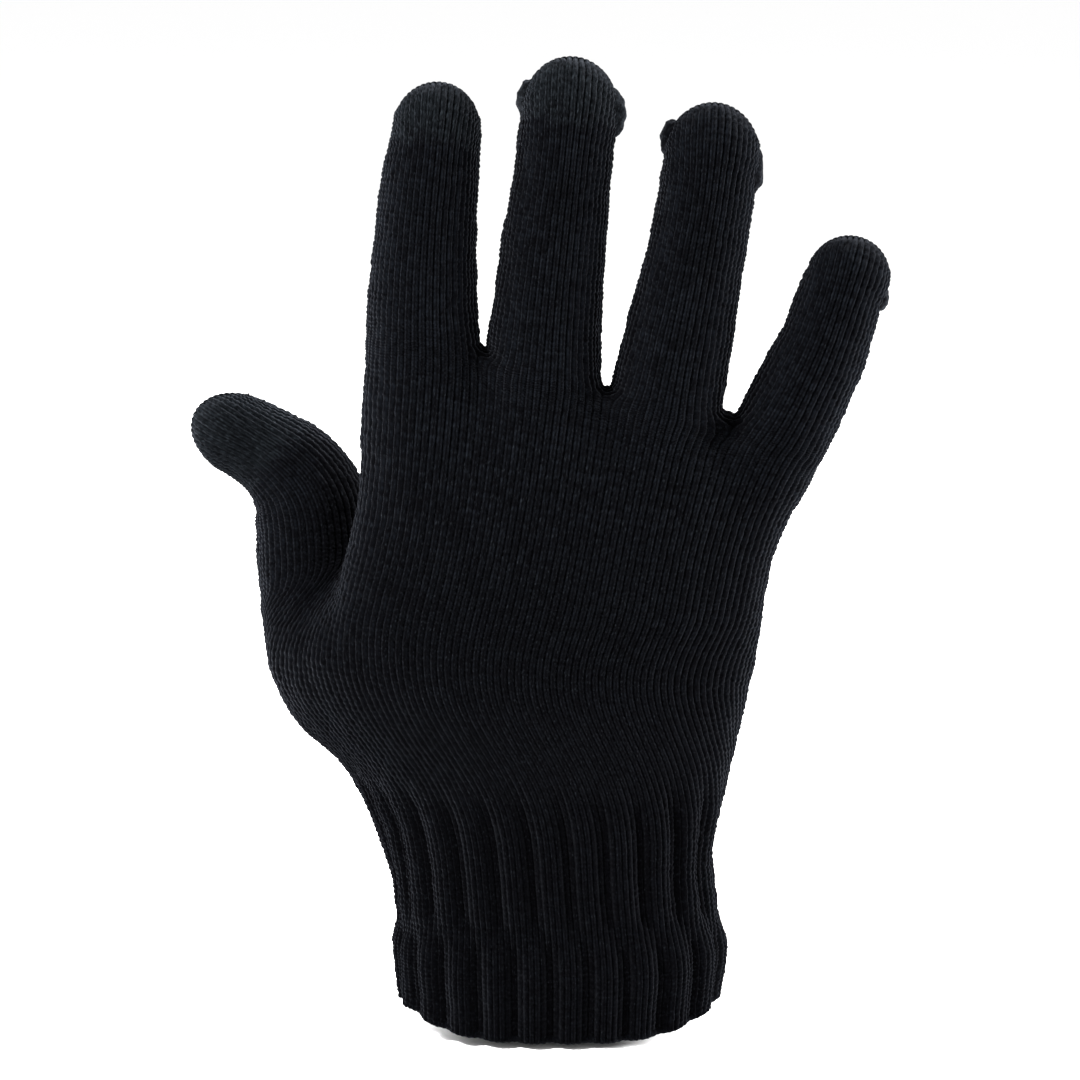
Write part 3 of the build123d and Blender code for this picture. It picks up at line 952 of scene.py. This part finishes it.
# ---- Seams over the tips -------------------------------------------------------------------------
def ring_tube(path, radii, sides=8, closed=False):
    """(points, quads) of a tube along a path, with its own radius at each point."""
    along = np.roll(path, -1, 0) - np.roll(path, 1, 0) if closed else np.gradient(path, axis=0)
    along = unit(along)
    side = unit(np.cross(along, (0.31, 0.87, 0.38)))
    up = np.cross(along, side)
    turn = np.arange(sides) * 2 * np.pi / sides
    ring = np.cos(turn)[None, :, None] * side[:, None] + np.sin(turn)[None, :, None] * up[:, None]
    return (path[:, None] + ring * radii[:, None, None]).reshape(-1, 3), wrap(len(path), sides, closed)


def wrap(rows, sides, closed=False):
    """The quads of a skin made of closed rings, one row of points for each."""
    i = np.arange(rows if closed else rows - 1)[:, None]
    j = np.arange(sides)[None]
    here, above, turned = i * sides, (i + 1) % rows * sides, (j + 1) % sides
    return np.stack([here + j, here + turned, above + turned, above + j], -1).reshape(-1, 4)


def joined(name, parts, slot):
    pts, qs, start = [], [], 0
    for p, q in parts:
        pts.append(p)
        qs.append(q + start)
        start += len(p)
    pts, qs = np.vstack(pts), np.vstack(qs)
    uv = np.zeros((len(qs), 4, 2))
    uv[:, :, 0] = np.arange(len(qs))[:, None] * 0.13 + np.array([0, 0.25, 0.25, 0])
    uv[:, :, 1] = np.arange(len(qs))[:, None] * 0.21 + np.array([0, 0, 0.25, 0.25])
    return place(name, make_mesh(name, pts, qs, uv), slot)


def lump(centre, x, y, z, half, wide, salt):
    """A closed, bumpy knot of stitches, half high along z and wide along x."""
    t = -np.cos(np.linspace(0.02, np.pi - 0.02, LUMP_ROWS))[:, None, None]
    turn = (np.arange(LUMP_SIDES) * 2 * np.pi / LUMP_SIDES)[None, :, None]
    r = np.sqrt(1 - t * t)
    out = r * (wide * np.cos(turn) * x + LUMP_DEPTH * np.sin(turn) * y) + half * t * z
    pts = (centre + out).reshape(-1, 3)
    bumps = 0.16 * wave_noise(pts, 1.9, salt) + 0.22 * wave_noise(pts, 4.0, salt + 2.0)
    bumps = bumps + 0.1 * np.abs(np.sin(np.pi * pts[:, 2] / 1.25))
    return pts + unit(out.reshape(-1, 3)) * bumps[:, None], wrap(LUMP_ROWS, LUMP_SIDES)


# Corners of the seams that stand out at the sides of the tips: (x, height, half height, half width, how much
# painted shade, most for a corner that lies in shade)
CORNERS = {
    "middle": ((-6.7, 209.2, 4.8, 2.9, 1.0), (10.9, 206.6, 5.8, 3.4, 0.1)),
    "ring": ((25.0, 200.6, 4.4, 2.8, 1.0), (41.9, 194.0, 5.6, 3.1, 0.1)),
    "little": ((59.9, 173.6, 2.6, 1.8, 0.7), (70.9, 165.4, 2.6, 2.0, 0.3)),
}
LUMP_ROWS, LUMP_SIDES = 26, 30
LUMP_DEPTH = 3.4
DARK_SHIFT = 1.5  # a dark corner lies this much further towards the palm
SEAM_RADIUS, SEAM_RIPPLE = 0.36, 0.14
TAIL_RADIUS, TAIL_DROP = 0.6, 11.0
THREAD_RADIUS = 0.35
THREAD_ROWS = range(4, 20, 3)  # courses of the cuff that have an elastic thread
TIP_SLOT = {name: "touch_yarn" if name in TOUCH_FROM else "black_yarn" for name in DIGITS}


def seam_ridge(tube, base):
    """The ridge over a tip, sunk a little, rippled once for each stitch and tapered at its ends."""
    fine = np.linspace(0, len(base) - 1, (len(base) - 1) * 8 + 1)
    path = read_path(fine, np.arange(len(base)), base)
    c, _, y, _, _, _ = tube.frame_at(tube.length)
    ripple = np.abs(np.sin(np.pi * fine))
    sway = y[0] * (0.25 * np.sin(2 * np.pi * fine))[:, None]
    path = path + unit(path - c[0]) * (0.12 * ripple[:, None] - 0.25) + sway
    taper = np.sin(np.pi * np.linspace(0.02, 0.98, len(path))) ** 0.3
    return ring_tube(path, (SEAM_RADIUS + SEAM_RIPPLE * ripple) * taper)


def yarn_tail(tube):
    """The yarn's end, left hanging inside the tip."""
    c, x, y, z, _, _ = tube.frame_at(tube.length)
    drop = np.linspace(0, 1, 30)[:, None]
    sway = x[0] * 1.8 * np.sin(2.6 * drop) - y[0] * 1.2 * np.sin(4 * drop)
    path = c[0] + z[0] * (tube.cap - 1.6 - TAIL_DROP * drop) + sway
    return ring_tube(path, np.full(len(path), TAIL_RADIUS))


for name in DIGITS:
    c, x, y, z, _, _ = TUBES[name].frame_at(TUBES[name].length)
    for k, (corner_x, corner_z, half, wide, dark) in enumerate(CORNERS.get(name, ())):
        centre = np.array([corner_x, c[0][1] + (DARK_SHIFT if dark > 0.5 else 0.0), corner_z])
        knot = lump(centre, x[0], y[0], z[0], half, wide, k + len(name))
        obj = joined(f"{name}_corner_{k}", [knot], TIP_SLOT[name])
        # The corner's painted shade, darkest on the one lying in shade.
        shade(obj.data, np.full(len(knot[0]), dark))
        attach(obj, f"{name}_end")
    slot = "touch_yarn" if name in ("index", "thumb") else "black_yarn"
    seam = joined(f"{name}_seam", [seam_ridge(TUBES[name], points[seams[name]])], slot)
    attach(seam, f"{name}_end")
    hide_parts(f"{name}_tip_seam")
    tail = joined(f"{name}_tail", [yarn_tail(TUBES[name])], TIP_SLOT[name])
    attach(tail, f"{name}_end")
    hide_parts(f"{name}_yarn_tail")

# ---- The cuff's edge -----------------------------------------------------------------------------
columns = np.arange(LOW_WALES * 4) / 4
closed_edge = [*low_rows[0], low_rows[0][0]]
edge, inner = (read_path(columns, np.arange(LOW_WALES + 1), skin[closed_edge]) for skin in (points, lining))
turn = (columns - GROOVE_WALE) / LOW_WALES * RIBS - RIB_SHIFT
deep = np.exp(-(((np.abs(turn - np.round(turn)) * RIB_PITCH) / GROOVE) ** 2))
middle = (edge + inner) / 2 + unit(edge - inner) * (0.2 - 0.8 * deep)[:, None] + np.array([0, 0, 0.25])
radii = 0.95 + 0.12 * np.sin(np.pi * columns) ** 2 - 0.15 * deep
obj = joined("cuff_edge", [ring_tube(middle, radii, 10, closed=True)], "black_rib")
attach(obj, "cuff")

# The elastic threads lie along the lining.
threads = []
for row in THREAD_ROWS:
    ring = lining[low_rows[row]] - point_normal[low_rows[row]] * 0.1
    threads.append(ring_tube(ring, np.full(len(ring), THREAD_RADIUS), 5, closed=True))
obj = joined("cuff_threads", threads, "elastic_yarn")
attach(obj, "cuff")
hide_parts("cuff_elastic_threads")

# ---- Floor, light and camera ---------------------------------------------------------------------
scene = bpy.context.scene
scene.view_settings.view_transform = "Standard"


def floor_material():
    n = Nodes("floor")
    speckle = n.add("ShaderNodeTexNoise", {"Scale": 6.0, "Detail": 2.0}).outputs["Fac"]
    colour = n.mix(speckle, (0.975, 0.975, 0.975, 1), (0.99, 0.99, 0.99, 1))
    inputs = {"Base Color": colour, "Roughness": 0.9, "Specular IOR Level": 0.1}
    shader = n.add("ShaderNodeBsdfPrincipled", inputs)
    n.add("ShaderNodeOutputMaterial", {0: shader.outputs[0]})
    return n.material


FLOOR_Z = -0.9
FLOOR_HALF = 60000.0
corners = [(x, y, FLOOR_Z) for x, y in ((-1, -1), (1, -1), (1, 1), (-1, 1))]
floor_mesh = make_mesh("floor", np.array(corners) * (FLOOR_HALF, FLOOR_HALF, 1.0), np.array([[0, 1, 2, 3]]))
floor = bpy.data.objects.new("floor", floor_mesh)
floor_mesh.materials.append(floor_material())
scene.collection.objects.link(floor)

world = bpy.data.worlds.new("studio")
scene.world = world
world.use_nodes = True
world.node_tree.nodes["Background"].inputs[0].default_value = (1.0, 1.0, 1.0, 1.0)
world.node_tree.nodes["Background"].inputs[1].default_value = 1.0

AIM = Vector((-4.5, 0.0, 111.3)) * MM


def area_light(name, position, size, power):
    data = bpy.data.lights.new(name, "AREA")
    data.shape = "DISK"
    data.size = size
    data.energy = power
    light = bpy.data.objects.new(name, data)
    light.location = position
    light.rotation_euler = (AIM - Vector(position)).to_track_quat("-Z", "Y").to_euler()
    scene.collection.objects.link(light)


area_light("key", (-0.45, -0.30, 0.62), 0.2, 21.0)
area_light("fill", (0.85, -0.02, 0.35), 0.35, 33.0)
area_light("rim", (0.6, 0.5, 0.7), 0.5, 26.0)
area_light("rim_left", (-0.7, 0.4, 0.5), 0.5, 15.0)

ELEVATION = math.radians(10.0)
DISTANCE = 1.0
FRAME_WIDTH = 0.242
cam_data = bpy.data.cameras.new("camera")
cam_data.sensor_width = 36.0
cam_data.lens = 36.0 * DISTANCE / FRAME_WIDTH
cam = bpy.data.objects.new("camera", cam_data)
back = Vector((0.0, -math.cos(ELEVATION), math.sin(ELEVATION)))
cam.location = AIM + back * DISTANCE
cam.rotation_euler = (-back).to_track_quat("-Z", "Y").to_euler()
scene.collection.objects.link(cam)
scene.camera = cam
